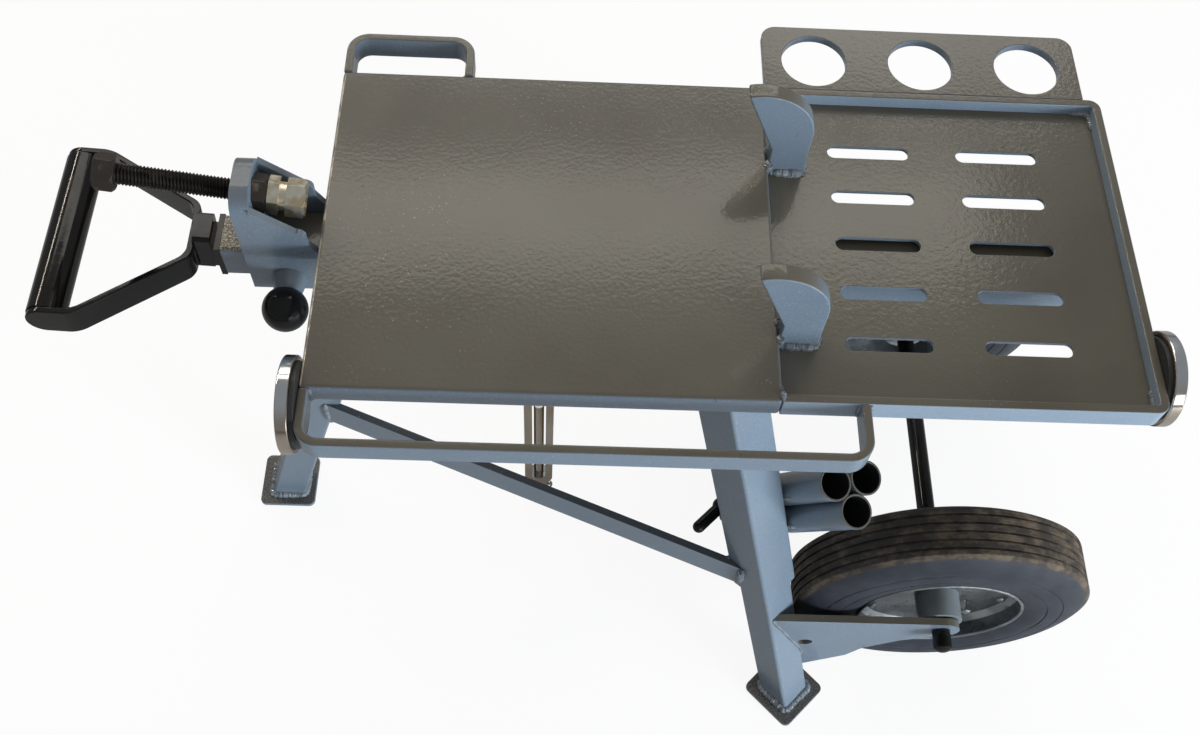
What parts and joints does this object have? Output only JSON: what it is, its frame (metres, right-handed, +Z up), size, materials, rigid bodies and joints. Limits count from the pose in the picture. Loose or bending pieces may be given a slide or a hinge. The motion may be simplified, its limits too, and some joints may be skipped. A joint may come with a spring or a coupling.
{
  "type": "anvil stand",
  "caption": "Steel anvil stand on telescoping splayed legs, with tool tray, tool loops, hold-down dogs, screw clamp, pull-out handle and transport wheels.",
  "frame": {"origin": "middle of the stand in plan, on the ground under the feet", "axes": "+X from the handle to the wheels, +Y from the front loop to the tool holder plate, +Z up"},
  "size_m": [0.8386, 0.473, 0.5356],
  "materials": {
    "paint": "gloss grey paint, slight orange peel",
    "black_paint": "gloss black",
    "zinc_plate": "yellow zinc plate",
    "bright_zinc": "bright zinc plate",
    "chrome_plate": "polished chrome",
    "spring_steel": "bright drawn wire",
    "knob_plastic": "gloss black",
    "tyre_rubber": "satin grey-black rubber, dusty tread",
    "hub_paint": "satin dark grey",
    "bearing_steel": "satin steel with dark seal",
    "magnet_ferrite": "satin black"
  },
  "bodies": {
    "stand": {"top_plate": "paint", "tray_floor": "paint", "tray_rim": "paint", "holder_plate": "paint", "front_loop": "paint", "rear_loop": "paint", "front_dog": "paint", "rear_dog": "paint", "spine_tube": "paint", "clamp_bracket": "paint", "clamp_nut": "black_paint", "plunger_housing": "paint", "plunger_spring": "spring_steel", "left_leg_sleeve": "paint", "front_leg_sleeve": "paint", "rear_leg_sleeve": "paint", "screw_bosses": "paint", "front_brace": "paint", "rear_brace": "paint", "punch_tube_1": "paint", "punch_tube_2": "paint", "punch_tube_3": "paint", "left_magnet_cup": "chrome_plate", "left_magnet_ring": "magnet_ferrite", "right_magnet_cup": "chrome_plate", "right_magnet_ring": "magnet_ferrite", "hanger_tab": "paint"},
    "handle": {"handle_tube": "paint", "handle_neck": "black_paint", "handle_frame": "black_paint", "handle_grip": "black_paint"},
    "plunger": {"plunger_pin": "zinc_plate", "plunger_knob": "knob_plastic"},
    "clamp_foot": {"clamp_pad": "zinc_plate"},
    "clamp_spindle": {"clamp_screw": "black_paint"},
    "left_leg": {"left_leg_inner": "paint", "left_foot": "paint"},
    "front_leg": {"front_leg_inner": "paint", "front_foot": "paint", "front_wheel_arm": "paint"},
    "rear_leg": {"rear_leg_inner": "paint", "rear_foot": "paint", "rear_wheel_arm": "paint"},
    "axle_bar": {"axle": "black_paint", "axle_clips": "zinc_plate"},
    "front_wheel": {"front_tyre": "tyre_rubber", "front_rim": "bright_zinc", "front_hub": "hub_paint", "front_bearings": "bearing_steel"},
    "rear_wheel": {"rear_tyre": "tyre_rubber", "rear_rim": "bright_zinc", "rear_hub": "hub_paint", "rear_bearings": "bearing_steel"},
    "left_lock": {"left_leg_screw": "black_paint"},
    "front_lock": {"front_leg_screw": "black_paint"},
    "rear_lock": {"rear_leg_screw": "black_paint"},
    "buckle_eye": {"turnbuckle_eye": "chrome_plate"},
    "buckle_body": {"turnbuckle_body": "chrome_plate"},
    "buckle_hook": {"turnbuckle_hook": "chrome_plate"}
  },
  "joints": [
    {"name": "handle_pull", "type": "slide", "parent": "stand", "child": "handle", "axis": [-1, 0, 0], "range_m": [0, 0.3]},
    {"name": "plunger_pull", "type": "slide", "parent": "stand", "child": "plunger", "axis": [0, -1, 0], "range_m": [0, 0.005], "stiffness_N_per_m": 1500, "springref_m": -0.004, "deforming": ["plunger_spring"]},
    {"name": "clamp_feed", "type": "slide", "parent": "stand", "child": "clamp_foot", "axis": [0.9848, 0, -0.1736], "range_m": [0, 0.028]},
    {"name": "clamp_turn", "type": "hinge", "parent": "clamp_foot", "child": "clamp_spindle", "pos_m": [-0.267, 0, 0.4904], "axis": [0.9848, 0, -0.1736], "range_deg": [0, 4366]},
    {"name": "left_leg_slide", "type": "slide", "parent": "stand", "child": "left_leg", "axis": [-0.279, 0, -0.9603], "range_m": [0, 0.07]},
    {"name": "front_leg_slide", "type": "slide", "parent": "stand", "child": "front_leg", "axis": [0.2337, -0.2337, -0.9438], "range_m": [0, 0.07]},
    {"name": "rear_leg_slide", "type": "slide", "parent": "stand", "child": "rear_leg", "axis": [0.2337, 0.2337, -0.9438], "range_m": [0, 0.07]},
    {"name": "axle_follow", "type": "slide", "parent": "stand", "child": "axle_bar", "axis": [0.2404, 0, -0.9707], "range_m": [0, 0.0681]},
    {"name": "front_wheel_spin", "type": "hinge", "parent": "axle_bar", "child": "front_wheel", "pos_m": [0.29235, -0.14265, 0.1367], "axis": [0, 1, 0], "continuous": true},
    {"name": "rear_wheel_spin", "type": "hinge", "parent": "axle_bar", "child": "rear_wheel", "pos_m": [0.29235, 0.14265, 0.1367], "axis": [0, 1, 0], "continuous": true},
    {"name": "left_lock_turn", "type": "hinge", "parent": "stand", "child": "left_lock", "pos_m": [-0.24589, 0, 0.24914], "axis": [0, 1, 0], "range_deg": [0, 180]},
    {"name": "front_lock_turn", "type": "hinge", "parent": "stand", "child": "front_lock", "pos_m": [0.1152, -0.14005, 0.24795], "axis": [-0.6674, 0.6674, -0.3305], "range_deg": [0, 180]},
    {"name": "rear_lock_turn", "type": "hinge", "parent": "stand", "child": "rear_lock", "pos_m": [0.1152, 0.14005, 0.24795], "axis": [-0.6674, -0.6674, -0.3305], "range_deg": [0, 180]},
    {"name": "buckle_swing", "type": "hinge", "parent": "stand", "child": "buckle_eye", "pos_m": [-0.06485, 0, 0.3924], "axis": [0, 1, 0], "range_deg": [-20, 20]},
    {"name": "buckle_turn", "type": "hinge", "parent": "buckle_eye", "child": "buckle_body", "pos_m": [-0.06485, 0, 0.135], "axis": [0, 0, 1], "range_deg": [0, 1800]},
    {"name": "hook_feed", "type": "slide", "parent": "buckle_eye", "child": "buckle_hook", "axis": [0, 0, 1], "range_m": [0, 0.00751]}
  ],
  "couplings": [
    {"joint": "clamp_turn", "follows": "clamp_feed", "rad_per_m": 2721.2},
    {"joint": "rear_leg_slide", "follows": "front_leg_slide", "ratio": 1},
    {"joint": "axle_follow", "follows": "front_leg_slide", "ratio": 0.97231},
    {"joint": "hook_feed", "follows": "buckle_turn", "m_per_rad": 0.00023873}
  ]
}
